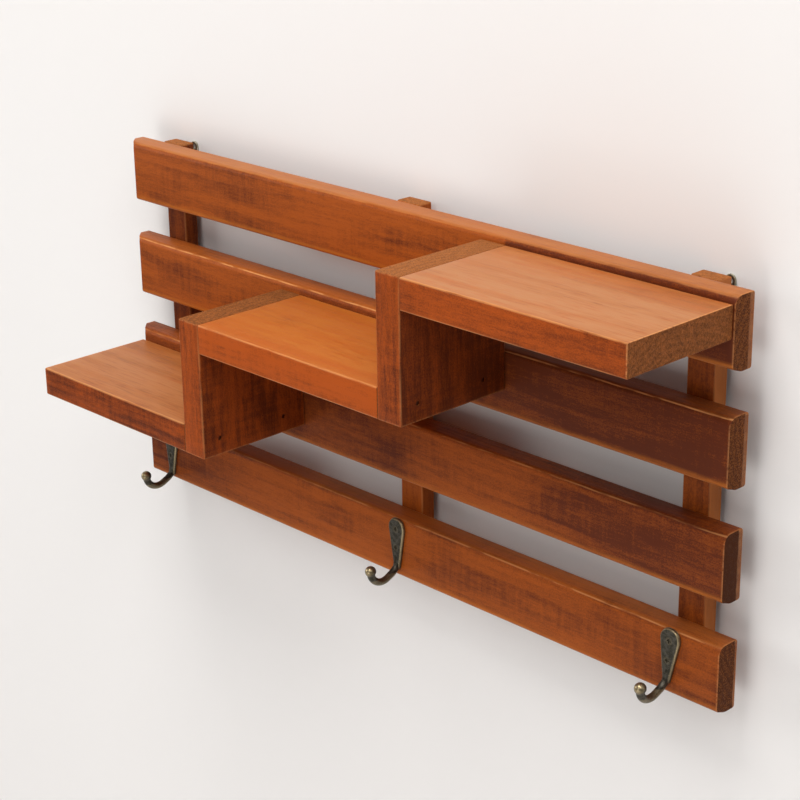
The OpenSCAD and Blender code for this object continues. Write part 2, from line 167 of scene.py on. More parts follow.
class WallRackColours(bpy.types.PropertyGroup):
    stain: tint("Stain", "Colour of the stained faces", (0.365, 0.080, 0.0095))
    stair_stain: tint("Stair stain", "Stain on the shelves and risers, a little redder", (0.41, 0.075, 0.0085))
    stain_dark: tint("Stain, late wood", "Colour of dark rings, patches and fibres", (0.105, 0.021, 0.006))
    # The worn colour below is also painted highlight along the slats' ridges and painted light on the right batten's
    # side
    stain_worn_lit: tint("Stain, worn", "Colour where the stain is thin on the edges", (0.68, 0.30, 0.105))
    # The pale colour below is painted sheen on the upper faces, and also the pale strip on the slats' ends
    pale_sheen: tint("Stain, pale", "Colour of upper faces bleached by light", (0.43, 0.185, 0.076))
    # The warm colour below is painted light on the upper faces and painted bounce light over the slats' feet
    warm_light: tint("Stain, warm", "Colour of upper faces and of the slats' feet", (0.47, 0.135, 0.016))
    end_dark: tint("End grain", "Dark colour of the sawn ends", (0.062, 0.017, 0.005))
    end_light: tint("End grain, light", "Colour of the light specks in the sawn ends", (0.27, 0.082, 0.018))
    end_tan: tint("End grain, tan", "Light colour of the sawn ends that have paled", (0.46, 0.155, 0.040))
    bronze: tint("Bronze", "Colour of the aged bronze in the hollows", (0.040, 0.036, 0.026))
    # The rubbed colour below is also the painted highlights on the hooks
    bronze_rubbed_lit: tint("Bronze, worn", "Colour of the aged bronze where it is rubbed", (0.46, 0.36, 0.20))
    bronze_haze: tint("Bronze, haze", "Colour of the dull patches on the aged bronze", (0.088, 0.080, 0.064))
    steel: tint("Steel", "Colour of the hidden nails and screws", (0.42, 0.41, 0.38))
    wall: tint("Backdrop", "Colour of the backdrop and the floor", (0.86, 0.845, 0.835))


# Shader nodes

def fill(tree, socket, value):
    """Links a socket to another one or gives it a value. A colour's value is its red, green and blue."""
    if isinstance(value, bpy.types.NodeSocket):
        tree.links.new(value, socket)
    elif socket.type == "RGBA":
        socket.default_value = (*value, 1.0)
    else:
        socket.default_value = value


def node(tree, kind, inputs=None, **settings):
    made = tree.nodes.new(kind)
    for key, value in settings.items():
        setattr(made, key, value)
    for key, value in (inputs or {}).items():
        fill(tree, made.inputs[key], value)
    return made


def tree_of(values):
    """The node tree of the first socket among the values."""
    return next(value for value in values if isinstance(value, bpy.types.NodeSocket)).id_data


def maths(operation, *values):
    return node(tree_of(values), "ShaderNodeMath", dict(enumerate(values)), operation=operation).outputs[0]


def total(first, *others):
    for other in others:
        first = maths("ADD", first, other)
    return first


def product(first, *others):
    for other in others:
        first = maths("MULTIPLY", first, other)
    return first


def minus(first, second):
    return maths("SUBTRACT", first, second)


def vectors(operation, *values):
    return node(tree_of(values), "ShaderNodeVectorMath", dict(enumerate(values)), operation=operation).outputs[0]


def ramp(value, low, high, to_low=0.0, to_high=1.0):
    """A smooth step of value from low to high."""
    made = node(value.id_data, "ShaderNodeMapRange", {"Value": value, "From Min": low, "From Max": high,
                "To Min": to_low, "To Max": to_high}, interpolation_type="SMOOTHSTEP")
    return made.outputs["Result"]


def blend_colour(share, first, second):
    return node(share.id_data, "ShaderNodeMix", {0: share, 6: first, 7: second}, data_type="RGBA").outputs[2]


def speckle(place, scale, detail=2.0, roughness=0.5):
    """Noise from 0 to 1 at place, which is stretched by the three numbers of scale, in patches per millimetre."""
    made = node(place.id_data, "ShaderNodeTexNoise", {"Vector": vectors("MULTIPLY", place, scale), "Scale": 1.0,
                "Detail": detail, "Roughness": roughness})
    return made.outputs["Fac"]


def place_in_mm(tree):
    place = node(tree, "ShaderNodeTexCoord").outputs["Object"]
    return node(tree, "ShaderNodeVectorMath", {0: place, "Scale": 1 / MM}, operation="SCALE").outputs[0]


def darkened(colour, share):
    return [share * c for c in colour]


def new_material(name):
    material = bpy.data.materials.new(name)
    material.use_nodes = True
    material.node_tree.nodes.clear()
    return material, material.node_tree


def finish_material(tree, shader):
    node(tree, "ShaderNodeOutputMaterial", {"Surface": shader.outputs[0]})


def surface(tree, colour, roughness, height, strength, depth, more):
    """Finishes a material with this colour and roughness, and with bumps by height, strength and depth."""
    bump = node(tree, "ShaderNodeBump", {"Strength": strength, "Distance": depth, "Height": height})
    finish_material(tree, node(tree, "ShaderNodeBsdfPrincipled", {
        "Base Color": colour, "Roughness": roughness, "Normal": bump.outputs[0], **more}))


def grain_group(name, stain, colours):
    """The wood itself: rings round a pith outside the board, fibres, stain patches, sawn ends and worn edges, and the
    painted light, sheen and highlights that its inputs ask for. Place is in millimetres, with the grain along its X."""
    tree = bpy.data.node_groups.new(name, "ShaderNodeTree")
    for socket in ("Place", "Pith"):
        tree.interface.new_socket(socket, in_out="INPUT", socket_type="NodeSocketVector")
    for socket in ("End", "Edge", "Pale end", "Pale face", "Warm face", "Ridge", "Tone", "Worn edges", "Dark end"):
        tree.interface.new_socket(socket, in_out="INPUT", socket_type="NodeSocketFloat")
    for socket, kind in (("Colour", "Color"), ("Roughness", "Float"), ("Height", "Float")):
        tree.interface.new_socket(socket, in_out="OUTPUT", socket_type="NodeSocket" + kind)
    given = node(tree, "NodeGroupInput").outputs
    place = given["Place"]

    # Growth rings
    drift = node(tree, "ShaderNodeTexNoise", {"Vector": vectors("MULTIPLY", place, (0.006, 0.02, 0.02)),
                 "Scale": 1.0, "Detail": 2.0}).outputs["Color"]
    bent = vectors("MULTIPLY_ADD", drift, (0.0, RING_STRAY, RING_STRAY), place)
    from_pith = vectors("MULTIPLY", vectors("SUBTRACT", bent, given["Pith"]), (0.0, 1.0, 1.0))
    radius = node(tree, "ShaderNodeVectorMath", {0: from_pith}, operation="LENGTH").outputs["Value"]
    phase = maths("FRACT", maths("DIVIDE", radius, RING_PITCH))
    late = product(ramp(phase, 0.35, 0.9), ramp(phase, 0.94, 1.0, 1.0, 0.0))

    # Patterns along the grain, the broadest first
    figure = speckle(place, (0.01, 0.2, 0.2), 3.0, 0.6)
    patches = speckle(place, (0.016, 0.06, 0.06), 3.0)
    fibres = speckle(place, (0.06, 1.4, 1.4), 3.0, 0.6)
    mottle = speckle(place, (0.13, 0.6, 0.6), 5.0, 0.75)
    ticks = speckle(place, (0.16, 3.4, 3.4))
    ripples = speckle(place, (1 / PLANER_PITCH, 0.03, 0.03), 3.0, 0.6)
    fine = speckle(place, (0.9, 1.3, 1.3), 2.0, 0.7)

    # How much darker the patterns make the stain
    darker = [
        product(late, ramp(patches, 0.3, 0.7, 0.06, 0.24)),
        ramp(patches, 0.42, 0.72, 0.0, 0.38),
        ramp(fibres, 0.4, 0.75, 0.0, 0.2),
        ramp(fine, 0.4, 0.6, -0.16, 0.2),
        ramp(mottle, 0.38, 0.62, -0.12, 0.17),
        ramp(figure, 0.38, 0.62, -0.12, 0.17),
        product(ramp(ripples, 0.3, 0.7, -0.16, 0.16), ramp(patches, 0.35, 0.6)),
        given["Tone"],
    ]
    dark_share = product(total(*darker), STAIN_DEPTH)
    face = blend_colour(dark_share, stain, colours.stain_dark)
    tick_share = ramp(ticks, 0.66, 0.8, 0.0, 0.12)
    face = blend_colour(tick_share, face, darkened(colours.stain_dark, 0.6))

    # Painted light and sheen on upper faces, painted bounce light over the slats' feet, and edges where the stain is
    # thin
    scratch = speckle(place, (0.05, 0.6, 0.6), 3.0)
    streaks = speckle(place, (0.004, 0.09, 0.09), 3.0)
    # Streaks that break up the painted light and sheen on the faces that look up
    rubbed = product(ramp(scratch, 0.25, 0.6, 0.4, 1.0), ramp(streaks, 0.35, 0.65, 0.6, 1.1),
                     ramp(fibres, 0.38, 0.62, 0.86, 1.06))
    face = blend_colour(product(given["Warm face"], rubbed), face, colours.warm_light)
    face = blend_colour(product(given["Pale face"], rubbed), face, colours.pale_sheen)
    worn = product(ramp(given["Edge"], 0.3, 1.5, 1.0, 0.0), ramp(scratch, 0.25, 0.55),
                   given["Worn edges"])
    # Along the ridges a worn line that is partly a painted highlight, and painted light on a side that looks right
    worn = maths("MAXIMUM", worn, given["Ridge"])
    face = blend_colour(worn, face, colours.stain_worn_lit)

    # Sawn ends
    pores = speckle(place, (0.2, 0.95, 0.95), 4.0, 0.8)
    clouds = speckle(place, (0.2, 0.25, 0.25))
    light_share = total(ramp(pores, 0.38, 0.62, 0.0, 0.85), ramp(clouds, 0.3, 0.7, 0.0, 0.2))
    light_share = minus(light_share, product(late, 0.2))
    light_share = minus(light_share, given["Dark end"])
    light = blend_colour(given["Pale end"], colours.end_light, colours.end_tan)
    dark = blend_colour(given["Pale end"], colours.end_dark, darkened(colours.end_tan, 0.55))
    colour = blend_colour(given["End"], face, blend_colour(light_share, dark, light))

    # Sheen and relief
    rough = total(ramp(scratch, 0.3, 0.7, 0.36, 0.5), product(given["End"], 0.3))
    height = total(product(fibres, 0.05), product(late, 0.03),
                   product(pores, given["End"], 0.5))
    height = minus(height, product(tick_share, 0.05))
    node(tree, "NodeGroupOutput", {"Colour": colour, "Roughness": rough, "Height": height})
    return tree


def box_in_mm(node_name):
    return [[c / MM for c in corner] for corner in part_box(node_name)]


def edge_distance(here, low, high):
    """How far a point of a board's face lies from the nearest edge of its box: the two smaller of three distances."""
    spans = [maths("MINIMUM", minus(here[axis], low[n]), minus(high[n], here[axis]))
             for n, axis in enumerate("XYZ")]
    largest = maths("MAXIMUM", maths("MAXIMUM", spans[0], spans[1]), spans[2])
    return minus(total(*spans), largest)


def front_share(side):
    """How far a face with this normal looks to the front."""
    return ramp(product(side["Y"], -1.0), *LOOKS_FRONT)


def ridge_and_foot_light(given, here, side, low, high, upper_round, foot_rise, ridge_wear_and_highlight):
    """Wears a broken line into a slat's upper rounding, partly a painted highlight, and paints bounce light as a warm
    band over its foot's bevel.
    """
    below_top = minus(high[2], here["Z"])
    above_foot = minus(here["Z"], low[2])
    # A worn line along the upper rounding, partly a painted highlight
    line = maths("ABSOLUTE", minus(below_top, 0.3 * upper_round))
    breaks = speckle(given["Place"], (0.08, 0.5, 0.5))
    unbroken = ramp(breaks, 0.35, 0.6, 0.15 * ridge_wear_and_highlight, ridge_wear_and_highlight)
    given["Ridge"] = product(ramp(line, 0.1, 0.55, 1.0, 0.0), unbroken)
    # Painted bounce light: a warm band over the foot's bevel where the slat looks to the front
    bounce_glow = ramp(above_foot, foot_rise + 1.0, foot_rise + 4.5, 0.8, 0.0)
    given["Warm face"] = maths("MAXIMUM", given["Warm face"], product(bounce_glow, front_share(side)))


def shade_over_shelf(here, side, shelf, darkening):
    """How much darker a slat's front is painted in the corner over a shelf: painted shade."""
    low, high = box_in_mm(shelf)
    over = ramp(minus(here["Z"], high[2]), 1.0, 6.0, darkening, 0.0)
    from_left = ramp(here["X"], low[0] - 2.0, low[0])
    to_right = ramp(here["X"], high[0], high[0] + 2.0, 1.0, 0.0)
    return product(over, from_left, to_right, front_share(side))


def pale_strip(given, here, start):
    """Turns a slat's sawn end pale between the wall and about this depth, and lets its end grain show less there."""
    wobble = speckle(given["Place"], (0.1, 0.1, 0.12))
    depth = total(here["Y"], product(wobble, 2.0))
    by_wall = ramp(depth, start + 0.5, start + 1.7)
    pale = product(by_wall, given["End"], 0.8)
    given["Pale face"] = maths("MAXIMUM", given["Pale face"], pale)
    given["End"] = product(given["End"], minus(1.0, product(by_wall, 0.75)))


def wood(name, group, node_name, grain, pith, shift, tone=0.0, shading_fades=(), right_shade=0.0, right_light=0.0,
         pale_end=0.0, dark_end=0.0, sheen_top=0.0, pale_by_wall=1.0, warm_top=0.0, worn_edges=0.4,
         buried=(0.0, 0.0), slat_edges=None, ridge_wear_and_highlight=0.0, corner=None, strip=None):
    """The finish of one board. pith is where its tree's middle lies, across the grain from the board's own, and
    shift its place along the tree. tone darkens all of it, and shading_fades are where along X it starts and ends
    getting darker, and by how much, as painted shade; a negative amount paints light. right_shade paints shade on the
    side that looks to the right, and right_light paints light on that side in the worn colour. sheen_top paints sheen
    on the face that looks up, pale_by_wall is what is left of that sheen by the slats, and warm_top paints warm
    light on it. buried is more than nothing for a left or right end that another board covers. slat_edges are a
    slat's upper rounding and its foot's bevel height, ridge_wear_and_highlight is how worn that rounding is and how
    strong its painted highlight, corner is the shelf that stands against the slat and how much painted shade darkens
    the slat over it, and strip is how wide its end is pale by the wall."""
    material, tree = new_material(name)
    low, high = box_in_mm(node_name)
    here = node(tree, "ShaderNodeSeparateXYZ", {0: place_in_mm(tree)}).outputs
    side = node(tree, "ShaderNodeSeparateXYZ", {0: node(tree, "ShaderNodeTexCoord").outputs["Normal"]}).outputs
    order = (0, 1, 2) if grain == "X" else (2, 1, 0)
    moved = [minus(here["XYZ"[axis]], (low[axis] + high[axis]) / 2) for axis in order]
    board = node(tree, "ShaderNodeCombineXYZ", dict(enumerate(moved))).outputs[0]
    open_low, open_high = (low[0] - buried[0], *low[1:]), (high[0] + buried[1], *high[1:])
    given = {"Place": vectors("ADD", board, (shift, 0.0, 0.0)), "Pith": (0.0, *pith),
             "Edge": edge_distance(here, open_low, open_high), "Worn edges": worn_edges, "Ridge": 0.0,
             "End": ramp(maths("ABSOLUTE", side[grain]), *LOOKS_ENDWARDS),
             "Pale end": pale_end, "Dark end": dark_end, "Tone": tone,
             # Painted sheen on the face that looks up
             "Pale face": ramp(side["Z"], *LOOKS_UP, 0.0, sheen_top),
             # Painted warm light on the face that looks up
             "Warm face": ramp(side["Z"], *LOOKS_UP, 0.0, warm_top)}
    # Less painted sheen by the wall, where the faces reflect the slats
    if pale_by_wall < 1.0:
        by_wall = ramp(here["Y"], high[1] - 40.0, high[1] - 4.0, 1.0, pale_by_wall)
        given["Pale face"] = product(given["Pale face"], by_wall)
    # Painted shade along X, mostly where the shelves shade the slats; a negative amount paints light
    for start, stop, amount in shading_fades:
        given["Tone"] = total(given["Tone"], ramp(here["X"], start, stop, 0.0, amount))
    # Painted shade on the side that looks to the right; a negative amount paints light there
    if right_shade:
        given["Tone"] = total(given["Tone"], ramp(side["X"], *LOOKS_RIGHT, 0.0, right_shade))
    # Painted light on the side that looks to the right, in the worn colour
    if right_light:
        given["Ridge"] = ramp(side["X"], *LOOKS_RIGHT, 0.0, right_light)
    if slat_edges:
        ridge_and_foot_light(given, here, side, low, high, *slat_edges, ridge_wear_and_highlight)
    # Painted shade in the corner over the shelf that stands against the slat
    if corner:
        given["Tone"] = total(given["Tone"], shade_over_shelf(here, side, *corner))
    if strip:
        pale_strip(given, here, high[1] - strip)
    grown = node(tree, "ShaderNodeGroup", given, node_tree=group).outputs
    surface(tree, grown["Colour"], grown["Roughness"], grown["Height"], 0.6, MM,
            {"IOR": 1.45, "Specular IOR Level": 0.12})
    return material


def cast_bronze(name, colours, handled):
    """Dark aged bronze, hazed in patches and specked all over. It is handled bright by that share, and more where the
    mesh attribute marks wear and painted highlights."""
    material, tree = new_material(name)
    place = place_in_mm(tree)
    rub_highlight = node(tree, "ShaderNodeAttribute", attribute_name="rub_highlight").outputs["Fac"]
    specks = speckle(place, (1.6, 1.6, 1.6), 4.0, 0.7)
    clouds = speckle(place, (0.35, 0.35, 0.35), 3.0, 0.6)
    base = blend_colour(ramp(clouds, 0.4, 0.65), colours.bronze, colours.bronze_haze)
    share = product(total(rub_highlight, handled), ramp(specks, 0.3, 0.6, 0.5, 1.0))
    share = total(share, ramp(specks, 0.58, 0.72, 0.0, 0.5))
    colour = blend_colour(share, base, colours.bronze_rubbed_lit)
    surface(tree, colour, ramp(share, 0.0, 1.0, 0.45, 0.28), specks, 0.35, 0.1 * MM, {"Metallic": 0.85})
    return material


def plain_metal(name, clean, stained, streaks):
    """Stamped or drawn metal with stains, fine pits and streaks along Z, which follow each other in a millimetre
    as often as streaks says. On the hangers the second colour is a painted highlight."""
    material, tree = new_material(name)
    place = place_in_mm(tree)
    drawn = speckle(place, (3.0, 3.0, streaks), 3.0)
    stains = speckle(place, (0.3, 0.3, 0.3), 3.0)
    share = total(ramp(drawn, 0.35, 0.7, 0.0, 0.5), ramp(stains, 0.45, 0.7, 0.0, 0.5))
    colour = blend_colour(share, clean, stained)
    surface(tree, colour, ramp(stains, 0.3, 0.7, 0.28, 0.5), drawn, 0.3, 0.05 * MM, {"Metallic": 0.9})
    return material


# Meshes

def solid_boxes(node_name):
    """The lowest and highest corners of each separate solid in a CAD node, from left to right."""
    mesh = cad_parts[node_name].data
    places = [tuple(round(c, 6) for c in v.co) for v in mesh.vertices]
    parent = {p: p for p in places}

    def root(p):
        while parent[p] != p:
            parent[p] = parent[parent[p]]
            p = parent[p]
        return p

    for edge in mesh.edges:
        parent[root(places[edge.vertices[0]])] = root(places[edge.vertices[1]])
    groups = {}
    for p in parent:
        groups.setdefault(root(p), []).append(p)
    boxes = [(Vector(map(min, zip(*members))), Vector(map(max, zip(*members)))) for members in groups.values()]
    return sorted(boxes, key=lambda box: tuple(box[0]))


def object_from(mesh_data, name, materials):
    made = bpy.data.objects.new(name, mesh_data)
    bpy.context.scene.collection.objects.link(made)
    for material in materials:
        made.data.materials.append(material)
    return made


def rounded_outline(corners, radii, steps=6):
    """Points round a flat shape with these corners, in turn to the left, each rounded by its own radius."""
    points = []
    for n, (corner, radius) in enumerate(zip(corners, radii)):
        here = Vector(corner)
        back = (Vector(corners[n - 1]) - here).normalized()
        ahead = (Vector(corners[(n + 1) % len(corners)]) - here).normalized()
        half = back.angle(ahead) / 2
        centre = here + (back + ahead).normalized() * radius / sin(half)
        first = here + back * radius / tan(half) - centre
        last = here + ahead * radius / tan(half) - centre
        for step in range(steps + 1):
            points.append(centre + radius * first.slerp(last, step / steps))
    return points


def plain_outline(radius):
    """The section of a plain board, the same at every place along it."""
    def outline(wide, tall, run, offset):
        return rounded_outline([(0.0, 0.0), (wide, 0.0), (wide, tall), (0.0, tall)], (radius,) * 4)
    return outline


def slat_outline(sizes):
    """The section of a slat, as depth from its front and height: bevelled along its foot, with a corner sawn off
    at its left end and the upper edge worn rounder at its right end."""
    foot, back = sizes.slat_foot_round, sizes.slat_back_round

    def outline(wide, tall, run, offset):
        near_end = max(0.0, 1.0 - (run - offset) / sizes.slat_wear_reach)
        top = sizes.slat_top_round + sizes.slat_end_wear * near_end ** 2
        corners = [(0.0, sizes.slat_foot_rise), (sizes.slat_foot_depth, 0.0), (wide, 0.0), (wide, tall), (0.0, tall)]
        points = rounded_outline(corners, (foot, sizes.slat_belly_round, back, back, top))
        return [(max(depth, sizes.slat_end_bevel - offset), height) for depth, height in points]
    return outline


def board_mesh(name, low, high, grain, outline, spacing, ease, dip, seed):
    """A board through its outlines, with eased sawn ends and faces that sanding has left a little uneven."""
    size = high - low
    along, first, second = (0, 1, 2) if grain == "X" else (2, 0, 1)
    wide, tall, run = size[first], size[second], size[along]
    rings = []
    for offset, inset in board_stations(run, spacing, ease):
        ring = []
        for u, v in outline(wide, tall, run, offset):
            local = Vector((0.0, 0.0, 0.0))
            local[along], local[first], local[second] = offset, u, v
            pull = dip * (0.5 + 0.5 * noise.noise(local * DIPS + Vector((seed, 0.0, 0.0)))) + inset
            local[first] = wide / 2 + (u - wide / 2) * (1 - 2 * pull / wide)
            local[second] = tall / 2 + (v - tall / 2) * (1 - 2 * pull / tall)
            ring.append(low + local)
        rings.append(ring)
    return ringed_mesh(name, rings)


def board_stations(run, spacing, ease):
    """Places along a board with the inset of its outline there: close together where the ends are eased."""
    steps = 4
    start = []
    for step in range(steps + 1):
        turn = step / steps * pi / 2
        start.append((ease * (1 - cos(turn)), ease * (1 - sin(turn))))
    count = max(2, round(run / spacing))
    middle = [(ease + (run - 2 * ease) * n / count, 0.0) for n in range(1, count)]
    return start + middle + [(run - offset, inset) for offset, inset in reversed(start)]


def ringed_mesh(name, rings):
    """A closed mesh through rings of the same number of points, with a flat face over the first and the last."""
    work = bmesh.new()
    made_rings = [[work.verts.new(point) for point in ring] for ring in rings]
    for first, second in zip(made_rings, made_rings[1:]):
        for n in range(len(first)):
            after = (n + 1) % len(first)
            work.faces.new((first[n], first[after], second[after], second[n]))
    work.faces.new(list(reversed(made_rings[0])))
    work.faces.new(made_rings[-1])
    bmesh.ops.recalc_face_normals(work, faces=work.faces)
    made = bpy.data.meshes.new(name)
    work.to_mesh(made)
    work.free()
    return made


def turned_mesh(profile, sides):
    """A closed turned solid about Z from points (radius, height), lowest first."""
    turns = [2 * pi * n / sides for n in range(sides)]
    rings = [[(radius * cos(turn), radius * sin(turn), height) for turn in turns]
             for radius, height in profile]
    return ringed_mesh("turned", rings)


def drill(piece, holes):
    """Cuts the holes out of the piece. A hole is a place, the way it is driven and its profile."""
    if not holes:
        return
    bits = bmesh.new()
    for place, way, profile in holes:
        bit = turned_mesh(profile, sides=24)
        bit.transform(Matrix.Translation(place) @ way.to_track_quat("Z", "Y").to_matrix().to_4x4())
        bits.from_mesh(bit)
        bpy.data.meshes.remove(bit)
    mesh = bpy.data.meshes.new("drills")
    bits.to_mesh(mesh)
    bits.free()
    cutter = bpy.data.objects.new("drills", mesh)
    bpy.context.scene.collection.objects.link(cutter)
    cut = piece.modifiers.new("Holes", "BOOLEAN")
    cut.operation = "DIFFERENCE"
    cut.solver = "EXACT"
    cut.object = cutter
    settle(piece)
    bpy.data.objects.remove(cutter)
    bpy.data.meshes.remove(mesh)


def settle(piece):
    """Makes the piece's mesh what its modifiers show."""
    graph = bpy.context.evaluated_depsgraph_get()
    graph.update()
    final = bpy.data.meshes.new_from_object(piece.evaluated_get(graph), depsgraph=graph)
    old = piece.data
    piece.modifiers.clear()
    piece.data = final
    if old.users == 0:
        bpy.data.meshes.remove(old)


def smooth(piece, angle=35.0):
    """Shades curved faces smooth and keeps corners sharper than the angle crisp."""
    for face in piece.data.polygons:
        face.use_smooth = True
    piece.data.set_sharp_from_angle(angle=radians(angle))


def place_piece(piece, node_name):
    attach(piece, "root")
    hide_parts(node_name)


def nail_profile(sizes, depth, sunk):
    head = sizes.nail_head + sizes.hole_room
    shank = sizes.nail_shank + sizes.hole_room
    head_end = sunk + sizes.nail_head_height
    return [(head, BIT_START), (head, head_end), (shank, head_end), (shank, depth)]


def countersunk_profile(sizes, shank, head, depth):
    room = sizes.hole_room
    return [(head + room, BIT_START), (head + room, 0.0), (shank + room, head - shank), (shank + room, depth)]


def holes_in(sizes, low, high):
    """Every hole that the rack's nails and screws along Y need in a board with these corners."""
    shank = sizes.small_shank + sizes.hole_room
    to_front, to_wall = Vector((0, -1, 0)), Vector((0, 1, 0))
    kinds = (
        ("batten_nails", to_front, lambda depth: nail_profile(sizes, depth, 0.0)),
        ("shelf_screws", to_front,
         lambda depth: countersunk_profile(sizes, sizes.shelf_shank, sizes.shelf_head, depth)),
        ("hook_screws", to_wall,
         lambda depth: countersunk_profile(sizes, sizes.small_shank, sizes.small_head, depth)),
        ("hanger_screws", to_front, lambda depth: [(shank, HANGER_BIT_START), (shank, depth)]),
    )
    found = []
    for node_name, way, profile in kinds:
        for box_low, box_high in solid_boxes(node_name):
            if all(box_low[i] < high[i] + TOUCH and box_high[i] > low[i] - TOUCH for i in range(3)):
                middle = (box_low + box_high) / 2
                start = Vector((middle.x, box_high.y if way.y < 0 else box_low.y, middle.z))
                found.append((start, way, profile(box_high.y - box_low.y + sizes.hole_room)))
    return found


def stair_holes_in(sizes, low, high):
    """The holes of the stair's nails, which are driven along X and lie sunk in the risers' faces."""
    found = []
    for box_low, box_high in solid_boxes("stair_nails"):
        middle = (box_low + box_high) / 2
        depth = sizes.nail_sunk + box_high.x - box_low.x + sizes.hole_room
        if box_low.x > high.x + TOUCH or box_high.x < low.x - TOUCH or not low.z < middle.z < high.z:
            continue
        for riser_low, riser_high in (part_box(name) for name in RISERS):
            ways = ((Vector((-1, 0, 0)), box_high.x, riser_high.x), (Vector((1, 0, 0)), box_low.x, riser_low.x))
            for way, head_x, face_x in ways:
                if abs(head_x - way.x * sizes.nail_sunk - face_x) < TOUCH:
                    start = Vector((face_x, middle.y, middle.z))
                    found.append((start, way, nail_profile(sizes, depth, sizes.nail_sunk)))
    return found


def dress_node(name, material, ease=0.0):
    """Gives a CAD node its finish, and eases its sharp edges where it has a size for that."""
    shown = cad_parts[name]
    shown.data.materials.clear()
    shown.data.materials.append(material)
    if ease:
        weld = shown.modifiers.new("Join faces", "WELD")
        weld.merge_threshold = 0.001 * MM
        rounding = shown.modifiers.new("Ease edges", "BEVEL")
        rounding.width = ease
        rounding.segments = 2
        rounding.limit_method = "ANGLE"
        rounding.angle_limit = radians(40)


# Parts of the cast hook, about a hook's own origin: on the slat's front face at the plate's top

def plate_half_width(sizes, drop):
    """Half of the teardrop plate's width at a drop below its top."""
    broad, narrow = sizes.plate_top, sizes.plate_foot
    span = sizes.plate_height - broad - narrow
    lean = asin((broad - narrow) / span)
    below = drop - broad
    if below < broad * sin(lean):
        return sqrt(max(0.0, broad ** 2 - below ** 2))
    if below > span + narrow * sin(lean):
        return sqrt(max(0.0, narrow ** 2 - (below - span) ** 2))
    start, end = broad * sin(lean), span + narrow * sin(lean)
    share = (below - start) / (end - start)
    return (broad * (1 - share) + narrow * share) * cos(lean)


def plate_mesh(sizes):
    """The teardrop plate: a flat back, a rounded rim and a gently domed front."""
    rows, across = 60, 14
    rim_roll, end_gap = 1.6 * MM, 0.02 * MM
    rim_share, dome_share = 0.42, 0.58
    spread = [sin((k / across - 0.5) * pi) for k in range(across + 1)]
    rings = []
    for n in range(rows + 1):
        drop = sizes.plate_height * (1 - cos(pi * n / rows)) / 2
        drop = min(max(drop, end_gap), sizes.plate_height - end_gap)
        half = plate_half_width(sizes, drop)
        to_end = min(drop, sizes.plate_height - drop)
        front = []
        for u in spread:
            roll = min(1.0, min(half - abs(half * u), to_end) / rim_roll)
            depth = sizes.plate_thickness * (rim_share + dome_share * sqrt(1 - (1 - roll) ** 2))
            front.append((half * u, -depth, -drop))
        rings.append(front + [(half * u, 0.0, -drop) for u in reversed(spread)])
    return ringed_mesh("plate", rings)


def arm_line(sizes):
    """Points along the arm's middle line and its two half sizes there, across and through. The arm starts as a
    low rib on the plate, turns out at the plate's foot, runs down at its slope and bends up to the ball."""
    thick = sizes.arm_radius
    rib_steps, curve_steps, straight_steps, bend_steps = 8, 6, 3, 14
    lead, swell = 0.35, 0.14
    rib_out, turn_out_at, rib_width, width_gain, rib_depth, depth_gain = 0.35, 0.9, 0.7, 0.25, 0.3, 0.6
    bend = Vector((0, sizes.arm_up - sizes.arm_reach, sizes.arm_up - sizes.arm_drop))
    slope = sizes.arm_slope
    along = Vector((0, -cos(slope), -sin(slope)))
    meet = bend + sizes.arm_up * Vector((0, sin(slope), -cos(slope)))
    leave = meet - along * ((-thick - meet.y) / cos(slope) - thick)
    root = Vector((0, -rib_out * thick, -sizes.arm_root))
    turn_out = Vector((0, -turn_out_at * thick, leave.z + thick))
    points = []
    for n in range(rib_steps + 1):
        share = n / rib_steps
        centre = root.lerp(turn_out, share)
        points.append((centre, thick * (rib_width + width_gain * share), thick * (rib_depth + depth_gain * share)))
    for n in range(1, curve_steps + 1):
        share = n / curve_steps
        centre = turn_out.lerp(leave, share).lerp(leave.lerp(meet, lead), share * share)
        points.append((centre, thick, thick))
    for n in range(1, straight_steps + 1):
        points.append((leave.lerp(meet, lead + (1 - lead) * n / straight_steps), thick, thick))
    for n in range(1, bend_steps + 1):
        turn = n / bend_steps * (pi / 2 + slope) - slope
        grow = 1 + swell * max(0.0, turn) / (pi / 2)
        centre = bend + sizes.arm_up * Vector((0, -sin(turn), -cos(turn)))
        points.append((centre, thick * grow, thick * grow))
    return points


def arm_mesh(sizes):
    """The arm, swept with an oval section along its middle line."""
    points = arm_line(sizes)
    sides = 20
    turns = [2 * pi * k / sides for k in range(sides)]
    rings = []
    for n, (centre, wide, deep) in enumerate(points):
        ahead = points[min(n + 1, len(points) - 1)][0] - points[max(n - 1, 0)][0]
        outward = Vector((1, 0, 0)).cross(ahead.normalized())
        rings.append([centre + Vector((wide * cos(turn), 0, 0)) + outward * deep * sin(turn)
                      for turn in turns])
    return ringed_mesh("arm", rings)


def ball_centre(sizes):
    return Vector((0, -sizes.arm_reach, sizes.arm_up - sizes.arm_drop))


def ball_mesh(sizes):
    rows, pole = 16, 0.05 * MM
    profile = [(max(pole, sizes.ball_radius * sin(pi * n / rows)),
                -sizes.ball_radius * cos(pi * n / rows)) for n in range(rows + 1)]
    made = turned_mesh(profile, sides=28)
    made.transform(Matrix.Translation(ball_centre(sizes)))
    return made


